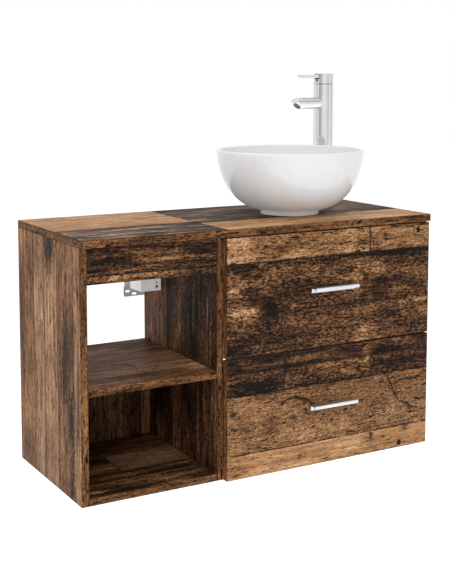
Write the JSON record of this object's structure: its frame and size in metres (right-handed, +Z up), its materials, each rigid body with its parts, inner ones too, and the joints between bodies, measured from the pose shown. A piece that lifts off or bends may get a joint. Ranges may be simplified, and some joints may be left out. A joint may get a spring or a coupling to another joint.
{
  "type": "bathroom vanity cabinet",
  "caption": "Wall-hung vanity in old-wood look: open shelves on the left, drawers on the right, round vessel basin and tall mixer tap on the worktop.",
  "frame": {"origin": "on the wall plane, level with the underside, midway between the two sides", "axes": "+Z up, +Y into the wall, +X to the right seen from the front; the drawers open towards -Y"},
  "size_m": [0.8, 0.3555, 0.798],
  "materials": {
    "reclaimed_wood_board": "matt printed laminate of old reclaimed planks, dark brown to tan, orange-brown edging with black specks",
    "drawer_box_board": "matt brown board",
    "handle_aluminium": "satin anodised, fine lengthwise brushing",
    "runner_steel": "zinc-plated rolled steel",
    "zinc_steel": "bright zinc plating",
    "hanger_plastic": "fine matt moulding",
    "basin_ceramic": "glossy white glaze",
    "polished_chrome": "mirror-polished plating",
    "aerator_plastic": "dark moulded grille",
    "dark_plastic": "black moulding",
    "tap_brass": "plain machined",
    "plumbing_plastic": "white polypropylene",
    "gasket_rubber": "soft black"
  },
  "bodies": {
    "cabinet": {"basin": "basin_ceramic", "carcass_cam_fittings": "zinc_steel", "compartment_back_panel": "reclaimed_wood_board", "compartment_bottom_panel": "reclaimed_wood_board", "compartment_shelf": "reclaimed_wood_board", "compartment_valance": "reclaimed_wood_board", "divider_panel": "reclaimed_wood_board", "drawer_bay_bottom_panel": "reclaimed_wood_board", "drawer_bay_lower_rail": "reclaimed_wood_board", "drawer_bay_upper_rail": "reclaimed_wood_board", "hanger_adjusting_screws": "zinc_steel", "hanger_hooks": "zinc_steel", "left_hanger_housing": "hanger_plastic", "left_side_panel": "reclaimed_wood_board", "left_wall_plate": "zinc_steel", "lower_drawer_runner_cabinet_members": "runner_steel", "middle_hanger_housing": "hanger_plastic", "middle_wall_plate": "zinc_steel", "right_hanger_housing": "hanger_plastic", "right_side_panel": "reclaimed_wood_board", "right_wall_plate": "zinc_steel", "runner_fixing_screws": "zinc_steel", "tap_aerator": "aerator_plastic", "tap_body": "polished_chrome", "tap_cartridge": "dark_plastic", "tap_clamp_washer": "zinc_steel", "tap_lock_nut": "tap_brass", "tap_tail": "tap_brass", "top_panel": "reclaimed_wood_board", "trap_body": "plumbing_plastic", "trap_cup": "plumbing_plastic", "trap_inlet_nut": "plumbing_plastic", "trap_outlet_pipe": "plumbing_plastic", "upper_drawer_runner_cabinet_members": "runner_steel", "waste_back_nut": "plumbing_plastic", "waste_fitting": "polished_chrome", "waste_gasket": "gasket_rubber"},
    "upper_drawer": {"upper_drawer_back": "drawer_box_board", "upper_drawer_bottom": "drawer_box_board", "upper_drawer_fasteners": "zinc_steel", "upper_drawer_front": "reclaimed_wood_board", "upper_drawer_handle": "handle_aluminium", "upper_drawer_left_side": "drawer_box_board", "upper_drawer_pipe_guard": "drawer_box_board", "upper_drawer_right_side": "drawer_box_board", "upper_drawer_runner_drawer_members": "runner_steel"},
    "lower_drawer": {"lower_drawer_back": "drawer_box_board", "lower_drawer_bottom": "drawer_box_board", "lower_drawer_fasteners": "zinc_steel", "lower_drawer_front": "reclaimed_wood_board", "lower_drawer_handle": "handle_aluminium", "lower_drawer_left_side": "drawer_box_board", "lower_drawer_right_side": "drawer_box_board", "lower_drawer_runner_drawer_members": "runner_steel"},
    "upper_runner_middle": {"upper_drawer_runner_middle_members": "runner_steel"},
    "lower_runner_middle": {"lower_drawer_runner_middle_members": "runner_steel"},
    "tap_cap": {"tap_cap": "polished_chrome"},
    "tap_lever": {"tap_lever": "polished_chrome"},
    "waste_plug": {"waste_plug": "polished_chrome"}
  },
  "joints": [
    {"name": "upper_drawer_slide", "type": "slide", "parent": "cabinet", "child": "upper_drawer", "axis": [0, -1, 0], "range_m": [0, 0.24]},
    {"name": "lower_drawer_slide", "type": "slide", "parent": "cabinet", "child": "lower_drawer", "axis": [0, -1, 0], "range_m": [0, 0.24]},
    {"name": "upper_runner_slide", "type": "slide", "parent": "cabinet", "child": "upper_runner_middle", "axis": [0, -1, 0], "range_m": [0, 0.12]},
    {"name": "lower_runner_slide", "type": "slide", "parent": "cabinet", "child": "lower_runner_middle", "axis": [0, -1, 0], "range_m": [0, 0.12]},
    {"name": "tap_turn", "type": "hinge", "parent": "cabinet", "child": "tap_cap", "pos_m": [0.3235, -0.045, 0.775], "axis": [0, 0, 1], "range_deg": [-45, 45]},
    {"name": "tap_lift", "type": "hinge", "parent": "tap_cap", "child": "tap_lever", "pos_m": [0.3235, -0.045, 0.7905], "axis": [-0.225, 0.9744, 0], "range_deg": [0, 25]},
    {"name": "plug_press", "type": "slide", "parent": "cabinet", "child": "waste_plug", "axis": [0, 0, -1], "range_m": [0, 0.008]}
  ],
  "couplings": [
    {"joint": "upper_runner_slide", "follows": "upper_drawer_slide", "ratio": 0.5},
    {"joint": "lower_runner_slide", "follows": "lower_drawer_slide", "ratio": 0.5}
  ]
}
